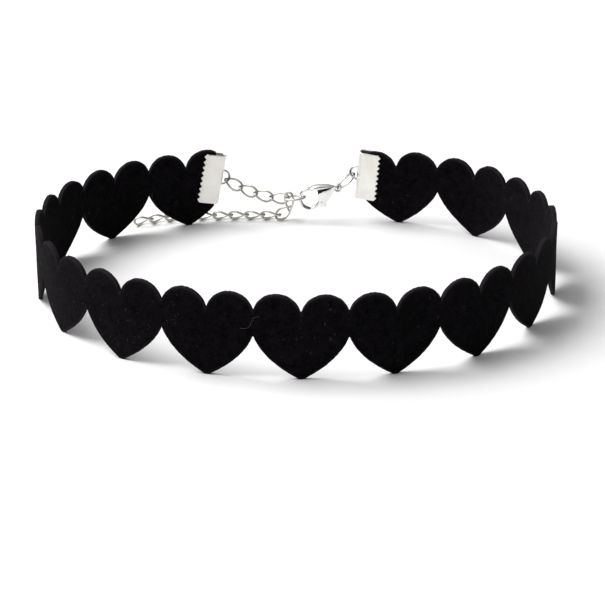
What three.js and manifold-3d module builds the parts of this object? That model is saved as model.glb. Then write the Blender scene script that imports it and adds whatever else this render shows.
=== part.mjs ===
// Choker necklace: one strip of felt cut as fifteen joined hearts, two ribbon clamps on its ends,
// a lobster clasp on a jump ring, and an extender chain of sixteen twisted oval links.
// Millimetres, +Z up. The front heart faces -Y and the band stands on its heart tips at z = 0.
import * as THREE from "three";
import { mergeVertices } from "three/addons/utils/BufferGeometryUtils.js";
import Module from "manifold-3d";

const wasm = await Module();
wasm.setup();

const degree = Math.PI / 180;

// The felt band, laid flat: hearts of one pitch, two round lobes above, two bowed sides below.
const heartPitch = 20;
const heartHeight = 19.1;
const feltThickness = 1.0;
const lobeRadius = 5.1;
const lobeOffset = 5.05;
const neckBottom = 9.75;
const sideBow = { out: 8.2, up: 4.6 };
const nose = { flat: 0.55, half: 0.9, rise: 0.3 };
const midHeight = heartHeight / 2;

// How the band stands, one row for each heart from the left end round the front to the right end.
// turn: how far the band bends over one pitch at that heart. lean: how far its top stands out.
const heartStance = [
  { turn: 23.0, lean: -3.5 },
  { turn: 27.5, lean: -7.0 },
  { turn: 28.0, lean: -2.5 },
  { turn: 29.0, lean: 0.0 },
  { turn: 23.5, lean: 0.5 },
  { turn: 23.5, lean: -1.0 },
  { turn: 12.0, lean: 0.0 },
  { turn: 16.0, lean: 1.5 },
  { turn: 19.5, lean: 2.5 },
  { turn: 25.0, lean: 1.5 },
  { turn: 16.5, lean: 3.0 },
  { turn: 35.0, lean: -0.5 },
  { turn: 22.5, lean: -2.0 },
  { turn: 31.5, lean: -3.5 },
  { turn: 21.5, lean: -9.0 },
];
const sideHearts = (heartStance.length - 1) / 2;
// The bend on the straight ends in the clamps, reached this far along the band.
const leftEndTurn = 0;
const rightEndTurn = -15.5;
const clampedFrom = 147.5;

// Where the middle of the front heart stands, and which way the band runs there.
const frontHeart = { x: 1.02, y: -46.48, heading: -1.57 };
// Each end heart is turned a little in its own plane, about its tip.
const endHeartTurn = -2.2;
const endTurnFrom = 127;
const endTurnOver = 8;

// Ribbon clamps: folded sheet, toothed along the edge that bites the felt.
const clamp = { depth: 5.5, height: 12.6, wall: 0.45, clearance: 0.3, toothPitch: 1.4, toothDepth: 0.6 };
const notchPast = 0.2;
const clampLoop = { wire: 0.5, halfHeight: 1.8, reach: 1.65, sink: 0.25 };
const feltInClamp = 4.55;
// at: place of the clamp's middle along the band. tilt: its turn in the band's plane.
// holdDown: how far below the loop's middle a link or ring passes through it.
const leftClamp = { side: -1, at: -145.7, tilt: 10.1, height: 11.95, loopUp: 0.5, holdDown: 0.8 };
const rightClamp = { side: 1, at: 147.5, tilt: 6.5, height: 12.4, loopUp: 0.2, holdDown: 0.6 };
const loopHoldOut = 0.65;

// Extender chain: twisted oval links, all alike, which hold each other one pitch apart.
const link = { length: 5.3, width: 3.3, wire: 0.55, twist: 45, segments: 14, wireSides: 6 };
const linkPitch = 3.95;

// Links in degrees, from the left clamp to the one that the clasp holds. rise: slope of the link.
// roll: turn about its own length. twist: how far each of its ends is turned.
const upperLinks = [
  { rise: -30, roll: 45, twist: link.twist },
  { rise: -23, roll: 45, twist: link.twist },
  { rise: -16, roll: 45, twist: link.twist },
  { rise: -4, roll: 45, twist: link.twist },
  { rise: 5, roll: 0, twist: 0 },
];
// The free links: one hangs from the held link, the rest lie on the surface behind the band.
const hangingLink = { back: 1.5, beside: 0.9, above: 1.1, roll: 135, twist: 20 };
// The first free link slopes from the hanging link down to the surface.
const slopingLink = { heading: 184.8, rise: -37.6, roll: 80, back: -0.28, beside: 0.55, lift: 0.24 };
const lyingStart = { back: -0.29, beside: 0.2 };
const lyingRoll = 45;
const lyingHeight = 1.42;
const lyingLinks = [
  { heading: 179 },
  { heading: 180 },
  { heading: 181 },
  { heading: 181 },
  { heading: 182 },
  { heading: 183 },
  { heading: 192 },
  { heading: 200 },
  { heading: 205 },
];

// Lobster clasp, drawn along its own length from the middle of its claw to the eye at its end.
const claw = {
  outer: { x: 2.75, z: 2.95 },
  inner: { x: 2.0, z: 2.15 },
  thick: 1.1,
  root: 48,
  nose: { outer: 252, inner: 246 },
};
const claspBody = { thick: 2.2, slot: 1.3, rise: 21.5, ahead: 1.62, below: 0.2 };
// The body's side view: its back from the claw's root to the eye, its belly back from the eye, and
// the wall of the mouth up to the root again.
const claspBack = [
  { x: 1.2, z: 2.65 },
  { x: 2.3, z: 2.72 },
  { x: 3.4, z: 2.5 },
  { x: 4.9, z: 1.9 },
  { x: 6.2, z: 1.1 },
  { x: 6.9, z: 0.5 },
];
const claspBelly = [
  { x: 6.9, z: -0.5 },
  { x: 6.0, z: -0.6 },
  { x: 4.6, z: -1.5 },
  { x: 3.3, z: -2.5 },
  { x: 2.5, z: -2.75 },
  { x: 1.6, z: -2.6 },
];
const claspMouth = [
  { x: 1.35, z: -1.9 },
  { x: 2.0, z: -0.2 },
  { x: 2.45, z: 1.2 },
  { x: 2.15, z: 1.75 },
  { x: 1.2, z: 2.1 },
];
// The slot that the lever stands in, open below.
const leverSlot = { left: 0.8, right: 3.45, top: -0.72, bottom: -3.4 };
const claspEye = { at: 7.3, outer: 1.1, hole: 0.6, thick: 0.9 };
// The gate's tip is cut back outside, so that it clears the claw's nose as it swings in.
const lever = { pivot: { x: 2.3, z: -1.75 }, root: 0.8, thick: 0.9, bore: 0.5, pin: 0.3 };
const gateTip = { outer: 260, inner: 256 };
const gateFoot = 300;
// Corners of the lever measured from its pivot: the two ends of the gate's foot, and the thumb tab.
const gateStart = { x: 0.1, z: -0.75 };
const gateShoulder = { x: -0.6, z: 0.4 };
const thumbTab = [
  { x: -0.3, z: -0.4 },
  { x: 0.6, z: -0.4 },
  { x: 0.8, z: -1.45 },
  { x: 0.3, z: -1.7 },
  { x: 0, z: -1.4 },
];
const jumpRing = { wire: 0.6, segments: 16 };

// How many straight steps stand for each round.
const steps = { lobe: 10, fold: 8, loop: 10, arm: 20, gate: 6, disc: 16, bore: 12 };

function clampNumber(value, low, high) {
  return Math.min(Math.max(value, low), high);
}

function smoothStep(value) {
  const t = clampNumber(value, 0, 1);
  return t * t * (3 - 2 * t);
}

// Reads a value at place s along the band from rows that stand one pitch apart.
function alongBand(rows, s) {
  const place = clampNumber(s / heartPitch + sideHearts, 0, rows.length - 1);
  const low = Math.min(Math.floor(place), rows.length - 2);
  return rows[low] + (rows[low + 1] - rows[low]) * (place - low);
}

// Bend of the band in radians for each millimetre, also on the short straight ends in the clamps.
function bendAt(s) {
  const endHeart = sideHearts * heartPitch;
  const turns = heartStance.map((row) => row.turn);
  let turn = alongBand(turns, s);
  if (Math.abs(s) > endHeart) {
    const atEnd = s < 0 ? leftEndTurn : rightEndTurn;
    const share = Math.min((Math.abs(s) - endHeart) / (clampedFrom - endHeart), 1);
    turn += (atEnd - turn) * share;
  }
  return turn * degree / heartPitch;
}

function leanAt(s) {
  return alongBand(heartStance.map((row) => row.lean), s) * degree;
}

// The band's middle line seen from above, walked in small steps both ways from the front heart.
const walkStep = 0.25;
const walkReach = 152;

function walkBand(direction) {
  const rows = [];
  let { x, y } = frontHeart;
  let heading = frontHeart.heading * degree;
  for (let walked = 0; walked <= walkReach; walked += walkStep) {
    rows.push({ x, y, heading });
    const half = direction * walkStep / 2;
    const middle = heading + bendAt(direction * walked + half / 2) * half;
    x += Math.cos(middle) * direction * walkStep;
    y += Math.sin(middle) * direction * walkStep;
    heading += bendAt(direction * walked + half) * direction * walkStep;
  }
  return rows;
}

const walks = { left: walkBand(-1), right: walkBand(1) };

function planAt(s) {
  const rows = s < 0 ? walks.left : walks.right;
  const place = Math.min(Math.abs(s) / walkStep, rows.length - 1.001);
  const low = Math.floor(place);
  const share = place - low;
  const between = (name) => rows[low][name] + (rows[low + 1][name] - rows[low][name]) * share;
  return { x: between("x"), y: between("y"), heading: between("heading") };
}

// Point of the band: s along it, z above the surface, out from its middle face.
function bandPoint(s, z, out) {
  const plan = planAt(s);
  const reach = out + (z - midHeight) * Math.tan(leanAt(s));
  return new THREE.Vector3(
    plan.x + Math.sin(plan.heading) * reach,
    plan.y - Math.cos(plan.heading) * reach,
    z,
  );
}

// Turns a place on an end heart about the heart's own tip.
function turnEndHeart(s, z) {
  const side = Math.sign(s);
  const angle = endHeartTurn * degree * smoothStep((side * s - endTurnFrom) / endTurnOver);
  const tip = side * sideHearts * heartPitch;
  return {
    s: tip + (s - tip) * Math.cos(angle) - z * Math.sin(angle),
    z: Math.max((s - tip) * Math.sin(angle) + z * Math.cos(angle), 0),
  };
}

function lobeTop(u) {
  const across = Math.abs(u) - lobeOffset;
  return heartHeight - lobeRadius + Math.sqrt(lobeRadius ** 2 - across ** 2);
}

// Lower outline: a bowed side from the neck to a small flat nose.
function sideBottom(u) {
  const across = Math.abs(u);
  if (across <= nose.flat) {
    return 0;
  }
  if (across <= nose.half) {
    return nose.rise * (across - nose.flat) / (nose.half - nose.flat);
  }
  const neckOut = heartPitch / 2;
  const a = neckOut - 2 * sideBow.out + nose.half;
  const b = 2 * (sideBow.out - neckOut);
  const c = neckOut - across;
  const t = (-b - Math.sqrt(b * b - 4 * a * c)) / (2 * a);
  return (1 - t) ** 2 * neckBottom + 2 * t * (1 - t) * sideBow.up + t * t * nose.rise;
}

// Places across one heart, closer together where its outline turns faster.
function heartStations() {
  const neckAngle = Math.acos((heartPitch / 2 - lobeOffset) / lobeRadius);
  const cleftAngle = Math.acos(-lobeOffset / lobeRadius);
  const places = [nose.flat, nose.half];
  for (let i = 0; i <= steps.lobe; i += 1) {
    const angle = cleftAngle + (neckAngle - cleftAngle) * i / steps.lobe;
    places.push(lobeOffset + lobeRadius * Math.cos(angle));
  }
  const half = places.filter((u) => u > 1e-6).sort((p, q) => p - q);
  return [...half.map((u) => -u).reverse(), 0, ...half.slice(0, -1)];
}

function closedGeometry(positions, index) {
  const geometry = new THREE.BufferGeometry();
  geometry.setAttribute("position", new THREE.Float32BufferAttribute(positions, 3));
  geometry.setIndex(index);
  geometry.computeVertexNormals();
  return geometry;
}

// A place on the felt, which is cut along the clamp's slant inside each clamp.
function feltPlace(s, z, end) {
  const turned = turnEndHeart(s, z);
  const slant = -Math.tan(end.tilt * degree) * (turned.z - end.height);
  const cut = end.side * (Math.abs(end.at) - clamp.depth / 2 + feltInClamp) + slant;
  const held = end.side < 0 ? Math.max(turned.s, cut) : Math.min(turned.s, cut);
  return { s: held, z: turned.z };
}

// The felt band: one solid, lofted through four corners at each station.
function heartBand() {
  const stations = [];
  const across = heartStations();
  for (let heart = -sideHearts; heart <= sideHearts; heart += 1) {
    for (const u of across) {
      stations.push({ s: heart * heartPitch + u, u });
    }
  }
  const leftLast = leftClamp.at + clamp.depth / 2 - feltInClamp - clamp.wall;
  const rightLast = rightClamp.at - clamp.depth / 2 + feltInClamp + clamp.wall;
  const kept = stations.filter((station) => station.s > leftLast && station.s < rightLast);
  const rings = kept.map(({ s, u }) => {
    const end = s < 0 ? leftClamp : rightClamp;
    const low = feltPlace(s, sideBottom(u), end);
    const high = feltPlace(s, lobeTop(u), end);
    const half = feltThickness / 2;
    return [
      bandPoint(low.s, low.z, half),
      bandPoint(high.s, high.z, half),
      bandPoint(high.s, high.z, -half),
      bandPoint(low.s, low.z, -half),
    ];
  });
  const positions = rings.flat().flatMap((point) => [point.x, point.y, point.z]);
  const index = [];
  for (let i = 0; i + 1 < rings.length; i += 1) {
    for (let k = 0; k < 4; k += 1) {
      const a = i * 4 + k;
      const b = i * 4 + (k + 1) % 4;
      index.push(a, a + 4, b, b, a + 4, b + 4);
    }
  }
  const last = (rings.length - 1) * 4;
  index.push(0, 1, 2, 0, 2, 3, last, last + 2, last + 1, last, last + 3, last + 2);
  return closedGeometry(positions, index);
}

// A wire swept along points. Its section turns with the direction away from a centre, so the
// sweep meets itself on a closed path and an open one gets flat ends.
function wire(points, radius, sides, closed, centre = new THREE.Vector3()) {
  const positions = [];
  const index = [];
  const count = points.length;
  points.forEach((point, i) => {
    const before = points[closed ? (i + count - 1) % count : Math.max(i - 1, 0)];
    const after = points[closed ? (i + 1) % count : Math.min(i + 1, count - 1)];
    const tangent = after.clone().sub(before).normalize();
    const away = point.clone().sub(centre);
    away.addScaledVector(tangent, -away.dot(tangent)).normalize();
    const across = new THREE.Vector3().crossVectors(tangent, away);
    for (let k = 0; k < sides; k += 1) {
      const angle = 2 * Math.PI * k / sides;
      const corner = point.clone();
      corner.addScaledVector(away, radius * Math.cos(angle));
      corner.addScaledVector(across, radius * Math.sin(angle));
      positions.push(corner.x, corner.y, corner.z);
    }
  });
  const spans = closed ? count : count - 1;
  for (let i = 0; i < spans; i += 1) {
    const next = (i + 1) % count;
    for (let k = 0; k < sides; k += 1) {
      const a = i * sides + k;
      const b = i * sides + (k + 1) % sides;
      const c = next * sides + k;
      const d = next * sides + (k + 1) % sides;
      index.push(a, b, c, b, d, c);
    }
  }
  if (!closed) {
    const last = (count - 1) * sides;
    for (let k = 1; k + 1 < sides; k += 1) {
      index.push(0, k + 1, k, last, last + k, last + k + 1);
    }
  }
  return closedGeometry(positions, index);
}

function toSolid(geometry) {
  const bare = geometry.clone();
  bare.deleteAttribute("normal");
  bare.deleteAttribute("uv");
  const merged = mergeVertices(bare, 1e-4);
  return new wasm.Manifold(new wasm.Mesh({
    numProp: 3,
    vertProperties: new Float32Array(merged.attributes.position.array),
    triVerts: new Uint32Array(merged.index.array),
  }));
}

function toGeometry(solid) {
  const mesh = solid.getMesh();
  return closedGeometry(Array.from(mesh.vertProperties), Array.from(mesh.triVerts));
}

// A flat outline in x and z, given as [x, z] pairs, made thick in y and centred on y = 0.
function plate(outline, thickness, holes = []) {
  const shape = new THREE.Shape(outline.map(([x, z]) => new THREE.Vector2(x, z)));
  for (const hole of holes) {
    shape.holes.push(new THREE.Path(hole.map(([x, z]) => new THREE.Vector2(x, z))));
  }
  const geometry = new THREE.ExtrudeGeometry(shape, { depth: thickness, bevelEnabled: false });
  geometry.rotateX(Math.PI / 2);
  geometry.translate(0, thickness / 2, 0);
  return geometry;
}

// Folded sheet seen from above: two jaws and a round fold. x runs from the teeth to the fold.
function clampSheet() {
  const inner = feltThickness / 2 + clamp.clearance;
  const outer = inner + clamp.wall;
  const foldAt = clamp.depth - outer;
  const shape = new THREE.Shape();
  shape.moveTo(0, -outer);
  for (let i = 0; i <= steps.fold; i += 1) {
    const angle = -Math.PI / 2 + Math.PI * i / steps.fold;
    shape.lineTo(foldAt + outer * Math.cos(angle), outer * Math.sin(angle));
  }
  shape.lineTo(0, outer);
  shape.lineTo(0, inner);
  for (let i = steps.fold; i >= 0; i -= 1) {
    const angle = -Math.PI / 2 + Math.PI * i / steps.fold;
    shape.lineTo(foldAt + inner * Math.cos(angle), inner * Math.sin(angle));
  }
  shape.lineTo(0, -inner);
  const geometry = new THREE.ExtrudeGeometry(shape, { depth: clamp.height, bevelEnabled: false });
  geometry.translate(0, 0, -clamp.height / 2);
  return toSolid(geometry);
}

// The gap between two teeth, cut through both jaws.
function toothNotch(z) {
  const open = clamp.toothPitch / 2 * (1 + notchPast / clamp.toothDepth);
  const outline = [[-notchPast, z - open], [clamp.toothDepth, z], [-notchPast, z + open]];
  return toSolid(plate(outline, feltThickness + 4 * clamp.wall + 4 * clamp.clearance));
}

function loopWire(loopUp) {
  const points = [];
  const start = clamp.depth - clampLoop.sink;
  for (let i = 0; i <= steps.loop; i += 1) {
    const angle = -Math.PI / 2 + Math.PI * i / steps.loop;
    points.push(new THREE.Vector3(
      start + (clampLoop.reach + clampLoop.sink) * Math.cos(angle),
      0,
      loopUp + clampLoop.halfHeight * Math.sin(angle),
    ));
  }
  const centre = new THREE.Vector3(start, 0, loopUp);
  return toSolid(wire(points, clampLoop.wire / 2, link.wireSides, false, centre));
}

function ribbonClamp(end) {
  let sheet = clampSheet();
  const notches = Math.round(clamp.height / clamp.toothPitch);
  for (let i = 0; i <= notches; i += 1) {
    sheet = sheet.subtract(toothNotch(-clamp.height / 2 + i * clamp.toothPitch));
  }
  const geometry = toGeometry(sheet.add(loopWire(end.loopUp)));
  geometry.translate(-clamp.depth / 2, 0, 0);
  return geometry;
}

// Places a clamp on its end of the band: x away from the hearts, z up the clamp.
function placeOnBand(mesh, end) {
  const plan = planAt(end.at);
  const lean = leanAt(end.at);
  const along = new THREE.Vector3(Math.cos(plan.heading), Math.sin(plan.heading), 0);
  const outward = new THREE.Vector3(along.y, -along.x, 0);
  const up = new THREE.Vector3(0, 0, Math.cos(lean)).addScaledVector(outward, Math.sin(lean));
  const tilt = end.tilt * degree;
  const x = along.clone().multiplyScalar(Math.cos(tilt)).addScaledVector(up, Math.sin(tilt));
  const z = up.clone().multiplyScalar(Math.cos(tilt)).addScaledVector(along, -Math.sin(tilt));
  x.multiplyScalar(end.side);
  const y = new THREE.Vector3().crossVectors(z, x);
  mesh.quaternion.setFromRotationMatrix(new THREE.Matrix4().makeBasis(x, y, z));
  mesh.position.copy(bandPoint(end.at, end.height, 0));
}

// An oval link along x. Its two ends are turned against each other by twice the twist.
function linkGeometry(twist) {
  const halfLength = (link.length - link.wire) / 2;
  const halfWidth = (link.width - link.wire) / 2;
  const points = [];
  for (let i = 0; i < link.segments; i += 1) {
    const angle = 2 * Math.PI * (i + 0.5) / link.segments;
    const turn = twist * degree * Math.cos(angle);
    const side = halfWidth * Math.sin(angle);
    points.push(new THREE.Vector3(
      halfLength * Math.cos(angle),
      side * Math.cos(turn),
      side * Math.sin(turn),
    ));
  }
  return wire(points, link.wire / 2, link.wireSides, true);
}

// Turns a link so that its length rises by `rise` and heads by `heading`, rolled about itself.
function placeLink(mesh, row) {
  mesh.rotation.set(row.roll * degree, -row.rise * degree, row.heading * degree, "ZYX");
  mesh.position.set(row.x, row.y, row.z);
}

// Walks a chain: each row's link holds the last one at `hold` and the next one a pitch further.
function walkChain(rows, hold) {
  const places = [];
  for (const row of rows) {
    const level = Math.cos(row.rise * degree);
    const step = new THREE.Vector3(
      level * Math.cos(row.heading * degree),
      level * Math.sin(row.heading * degree),
      Math.sin(row.rise * degree),
    );
    step.multiplyScalar(linkPitch / 2);
    hold.add(step);
    places.push({ ...row, x: hold.x, y: hold.y, z: hold.z });
    hold.add(step);
  }
  return places;
}

function ellipseArc(size, fromAngle, toAngle, count) {
  const points = [];
  for (let i = 0; i <= count; i += 1) {
    const angle = (fromAngle + (toAngle - fromAngle) * i / count) * degree;
    points.push([size.x * Math.cos(angle), size.z * Math.sin(angle)]);
  }
  return points;
}

function circle(x, z, radius, count) {
  const points = ellipseArc({ x: radius, z: radius }, 0, 360 - 360 / count, count - 1);
  return points.map(([u, w]) => [x + u, z + w]);
}

// A round pin across the clasp.
function crossPin(radius, length) {
  const geometry = new THREE.CylinderGeometry(radius, radius, length, steps.bore);
  geometry.translate(lever.pivot.x, 0, lever.pivot.z);
  return toSolid(geometry);
}

// The clasp's fixed half: claw, tapering body with a slot for the lever, pin and eye.
function claspBodyGeometry() {
  const arm = [
    ...ellipseArc(claw.outer, claw.root, claw.nose.outer, steps.arm),
    ...ellipseArc(claw.inner, claw.nose.inner, claw.root, steps.arm),
  ];
  const body = [...claspBack, ...claspBelly, ...claspMouth].map(({ x, z }) => [x, z]);
  const { left, right, top, bottom } = leverSlot;
  const slot = [[left, top], [right, top], [right, bottom], [left, bottom]];
  const eye = plate(
    circle(claspEye.at, 0, claspEye.outer, steps.disc),
    claspEye.thick,
    [circle(claspEye.at, 0, claspEye.hole, steps.bore)],
  );
  const eyeBore = circle(claspEye.at, 0, claspEye.hole, steps.bore);
  return toGeometry(toSolid(plate(arm, claw.thick))
    .add(toSolid(plate(body, claspBody.thick)))
    .subtract(toSolid(plate(slot, claspBody.slot)))
    .add(toSolid(eye))
    .subtract(toSolid(plate(eyeBore, 2 * claspBody.thick)))
    .add(crossPin(lever.pin, claspBody.thick)));
}

// The lever, drawn about its pivot: root, gate arm that closes the claw, and thumb tab.
function leverGeometry() {
  const { x, z } = lever.pivot;
  const fromPivot = (corner) => [x + corner.x, z + corner.z];
  const gate = [
    fromPivot(gateStart),
    ...ellipseArc(claw.outer, gateFoot, gateTip.outer, steps.gate),
    ...ellipseArc(claw.inner, gateTip.inner, gateFoot, steps.gate),
    fromPivot(gateShoulder),
    [x, z],
  ];
  const tab = thumbTab.map(fromPivot);
  const solid = toSolid(plate(gate, lever.thick))
    .add(toSolid(plate(circle(x, z, lever.root, steps.disc), lever.thick)))
    .add(toSolid(plate(tab, lever.thick)))
    .subtract(crossPin(lever.bore, 2 * lever.thick));
  const geometry = toGeometry(solid);
  geometry.translate(-x, 0, -z);
  return geometry;
}

// A round ring about the origin, in the plane of x and y.
function jumpRingGeometry(radius) {
  const round = circle(0, 0, radius, jumpRing.segments).map(([x, y]) => new THREE.Vector3(x, y, 0));
  return wire(round, jumpRing.wire / 2, link.wireSides, true);
}

const feltBlack = new THREE.MeshStandardMaterial({ color: 0x0d0c0f, roughness: 0.95, metalness: 0 });
const clampSilver = new THREE.MeshStandardMaterial({ color: 0xd9d8d2, roughness: 0.45, metalness: 0.9 });
const chainSilver = new THREE.MeshStandardMaterial({ color: 0xc9c8c0, roughness: 0.3, metalness: 1 });
const claspSilver = new THREE.MeshStandardMaterial({ color: 0xe4e4e2, roughness: 0.2, metalness: 1 });

const choker = new THREE.Group();

function addMesh(name, geometry, material) {
  const mesh = new THREE.Mesh(geometry, material);
  mesh.name = name;
  choker.add(mesh);
  return mesh;
}

// The point inside a clamp's loop where a link or ring passes through it.
function loopPoint(mesh, end) {
  mesh.updateMatrix();
  const inside = new THREE.Vector3(clamp.depth / 2 + loopHoldOut, 0, end.loopUp - end.holdDown);
  return inside.applyMatrix4(mesh.matrix);
}

function addLinks(places, firstNumber) {
  places.forEach((row, i) => {
    const number = String(firstNumber + i).padStart(2, "0");
    placeLink(addMesh(`chain_link_${number}`, linkGeometry(row.twist), chainSilver), row);
  });
}

addMesh("heart_band", heartBand(), feltBlack);
const leftMesh = addMesh("left_clamp", ribbonClamp(leftClamp), clampSilver);
placeOnBand(leftMesh, leftClamp);
const rightMesh = addMesh("right_clamp", ribbonClamp(rightClamp), clampSilver);
placeOnBand(rightMesh, rightClamp);

// Chain and clasp run in one upright plane from loop to loop.
const leftHold = loopPoint(leftMesh, leftClamp);
const rightHold = loopPoint(rightMesh, rightClamp);
const heading = Math.atan2(rightHold.y - leftHold.y, rightHold.x - leftHold.x) / degree;
const ahead = new THREE.Vector3(Math.cos(heading * degree), Math.sin(heading * degree), 0);
const wireOver = (link.length - link.wire - linkPitch) / 2;

const firstHold = leftHold.clone().addScaledVector(ahead, wireOver);
const upperPlaces = walkChain(upperLinks.map((row) => ({ ...row, heading })), firstHold);
addLinks(upperPlaces, 1);

const held = upperPlaces[upperPlaces.length - 1];
const hangFrom = new THREE.Vector3(held.x, held.y + hangingLink.beside, held.z + hangingLink.above);
hangFrom.addScaledVector(ahead, -hangingLink.back);
hangFrom.z -= wireOver;
const hangRow = { heading, rise: -90, roll: hangingLink.roll, twist: hangingLink.twist };
const hangPlaces = walkChain([hangRow], hangFrom);

const slopeFrom = hangFrom.clone().addScaledVector(ahead, -slopingLink.back);
slopeFrom.y += slopingLink.beside;
slopeFrom.z += slopingLink.lift;
const slopeRow = { ...slopingLink, twist: link.twist };
const slopePlaces = walkChain([slopeRow], slopeFrom);

const lieFrom = slopeFrom.clone().addScaledVector(ahead, -lyingStart.back);
lieFrom.y += lyingStart.beside;
lieFrom.z = lyingHeight;
const lyingRows = lyingLinks.map((row) => ({ ...row, rise: 0, roll: lyingRoll, twist: link.twist }));
const lyingPlaces = walkChain(lyingRows, lieFrom);
addLinks([...hangPlaces, ...slopePlaces, ...lyingPlaces], upperPlaces.length + 1);

// The clasp lies with its claw round the held link and its eye toward the jump ring.
const clasp = new THREE.Group();
choker.add(clasp);
clasp.rotation.set(0, -claspBody.rise * degree, heading * degree, "ZYX");
const clawMiddle = new THREE.Vector3(held.x, held.y, held.z).addScaledVector(ahead, linkPitch / 2);
clawMiddle.addScaledVector(ahead, claspBody.ahead);
clawMiddle.z -= claspBody.below;
clasp.position.copy(clawMiddle);
clasp.updateMatrix();

const bodyMesh = addMesh("clasp_body", claspBodyGeometry(), claspSilver);
const leverMesh = addMesh("clasp_lever", leverGeometry(), claspSilver);
leverMesh.position.set(lever.pivot.x, 0, lever.pivot.z);
clasp.add(bodyMesh, leverMesh);

const eyePoint = new THREE.Vector3(claspEye.at, 0, 0).applyMatrix4(clasp.matrix);
const span = rightHold.clone().sub(eyePoint);
const ringMesh = addMesh("jump_ring", jumpRingGeometry(span.length() / 2), claspSilver);
ringMesh.rotation.set(0, -Math.asin(span.z / span.length()), Math.atan2(span.y, span.x), "ZYX");
ringMesh.position.copy(eyePoint).addScaledVector(span, 0.5);

export default choker;
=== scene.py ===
import bmesh
import bpy
import numpy as np
from mathutils import Matrix, Vector


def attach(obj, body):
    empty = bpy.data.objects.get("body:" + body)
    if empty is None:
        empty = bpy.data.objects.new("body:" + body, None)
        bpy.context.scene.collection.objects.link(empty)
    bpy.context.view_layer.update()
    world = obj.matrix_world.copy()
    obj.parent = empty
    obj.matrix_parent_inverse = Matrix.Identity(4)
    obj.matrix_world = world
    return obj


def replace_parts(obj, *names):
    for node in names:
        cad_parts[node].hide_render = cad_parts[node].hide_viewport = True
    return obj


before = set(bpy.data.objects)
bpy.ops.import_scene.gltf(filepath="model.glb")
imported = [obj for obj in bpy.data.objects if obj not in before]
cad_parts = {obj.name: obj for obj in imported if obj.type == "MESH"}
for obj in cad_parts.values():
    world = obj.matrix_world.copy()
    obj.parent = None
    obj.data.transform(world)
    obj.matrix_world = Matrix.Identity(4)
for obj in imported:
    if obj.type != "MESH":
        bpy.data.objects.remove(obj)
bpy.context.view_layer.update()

mm = 0.001

# shader words


# A socket that can be used in sums: v * 2 + w adds the Math nodes for it.
class Value:
    def __init__(self, nodes, socket):
        self.nodes = nodes
        self.socket = socket

    def maths(self, operation, other):
        return self.nodes.node("ShaderNodeMath", {"operation": operation}, {0: self, 1: other})

    def __add__(self, other):
        return self.maths("ADD", other)

    def __mul__(self, other):
        return self.maths("MULTIPLY", other)

    __radd__ = __add__
    __rmul__ = __mul__


# The nodes of a material or of the room, all made by node().
class Nodes:
    def __init__(self, tree):
        self.tree = tree

    def node(self, kind, settings, values, output=0):
        made = self.tree.nodes.new(kind)
        for key, value in settings.items():
            setattr(made, key, value)
        for key, value in values.items():
            self.put(made.inputs[key], value)
        return Value(self, made.outputs[output])

    def put(self, socket, value):
        if isinstance(value, Value):
            self.tree.links.new(value.socket, socket)
        else:
            socket.default_value = value


# A material: its Principled shader and the words for its textures.
class Finish(Nodes):
    def __init__(self, name):
        self.material = bpy.data.materials.new(name)
        self.material.use_nodes = True
        super().__init__(self.material.node_tree)
        self.shader = self.tree.nodes["Principled BSDF"]
        self.place = self.node("ShaderNodeTexCoord", {}, {}, "Object")

    def noise(self, scale, detail, roughness, place=None):
        values = {"Vector": place or self.place, "Scale": scale, "Detail": detail, "Roughness": roughness}
        return self.node("ShaderNodeTexNoise", {}, values, "Fac")

    def stretch(self, scale):
        return self.node("ShaderNodeMapping", {}, {"Vector": self.place, "Scale": scale})

    # a share that setShare() stored on the piece
    def share(self, name):
        return self.node("ShaderNodeAttribute", {"attribute_name": name}, {}, "Fac")

    # grey from one (place, brightness) to another
    def ramp(self, value, *stops):
        made = self.node("ShaderNodeValToRGB", {}, {"Fac": value})
        for element, (at, grey) in zip(made.socket.node.color_ramp.elements, stops):
            element.position = at
            element.color = (grey, grey, grey, 1.0)
        return made

    def mix(self, amount, first, second):
        return self.node("ShaderNodeMix", {"data_type": "RGBA"}, {0: amount, 6: first, 7: second}, 2)

    def bump(self, height, strength, distance):
        made = self.node("ShaderNodeBump", {}, {"Height": height, "Strength": strength, "Distance": distance})
        self.put(self.shader.inputs["Normal"], made)

    def set(self, values):
        for key, value in values.items():
            self.put(self.shader.inputs[key], value)


# mesh words


# A mesh object from an (n, 3) array in millimetres and a list or array of faces.
def makePiece(name, points, faces, finish, slot, body="choker"):
    mesh = bpy.data.meshes.new(name)
    mesh.from_pydata((points * mm).tolist(), [], [list(face) for face in faces])
    mesh.polygons.foreach_set("use_smooth", np.full(len(mesh.polygons), True))
    mesh.materials.append(finish.material)
    mesh.update()
    piece = bpy.data.objects.new(name, mesh)
    bpy.context.scene.collection.objects.link(piece)
    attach(piece, body)
    return piece


# Quads of a rows x columns grid of points, numbered row by row.
def gridFaces(rows, columns, closeRows=False, closeColumns=False):
    r = np.arange(rows if closeRows else rows - 1)[:, None]
    c = np.arange(columns if closeColumns else columns - 1)[None, :]
    nextR, nextC = (r + 1) % rows, (c + 1) % columns
    quads = [r * columns + c, r * columns + nextC, nextR * columns + nextC, nextR * columns + c]
    return np.stack([np.broadcast_to(q, (len(r), c.shape[1])) for q in quads], -1).reshape(-1, 4)


# Faces of a tube of rings, with a flat cap on both ends.
def cappedFaces(rows, columns):
    ends = [list(range(columns)), list(range((rows - 1) * columns, rows * columns))[::-1]]
    return gridFaces(rows, columns, closeColumns=True).tolist() + ends


# Stores a share, 0 to 1, at each point of a piece: painted shade, with rougher metal, where metal parts hang
# in each other or are shaded; painted highlight on the felt's cut edge.
def setShare(piece, name, values):
    share = piece.data.attributes.new(name, "FLOAT", "POINT")
    share.data.foreach_set("value", np.ascontiguousarray(values, dtype=np.float32).ravel())


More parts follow.
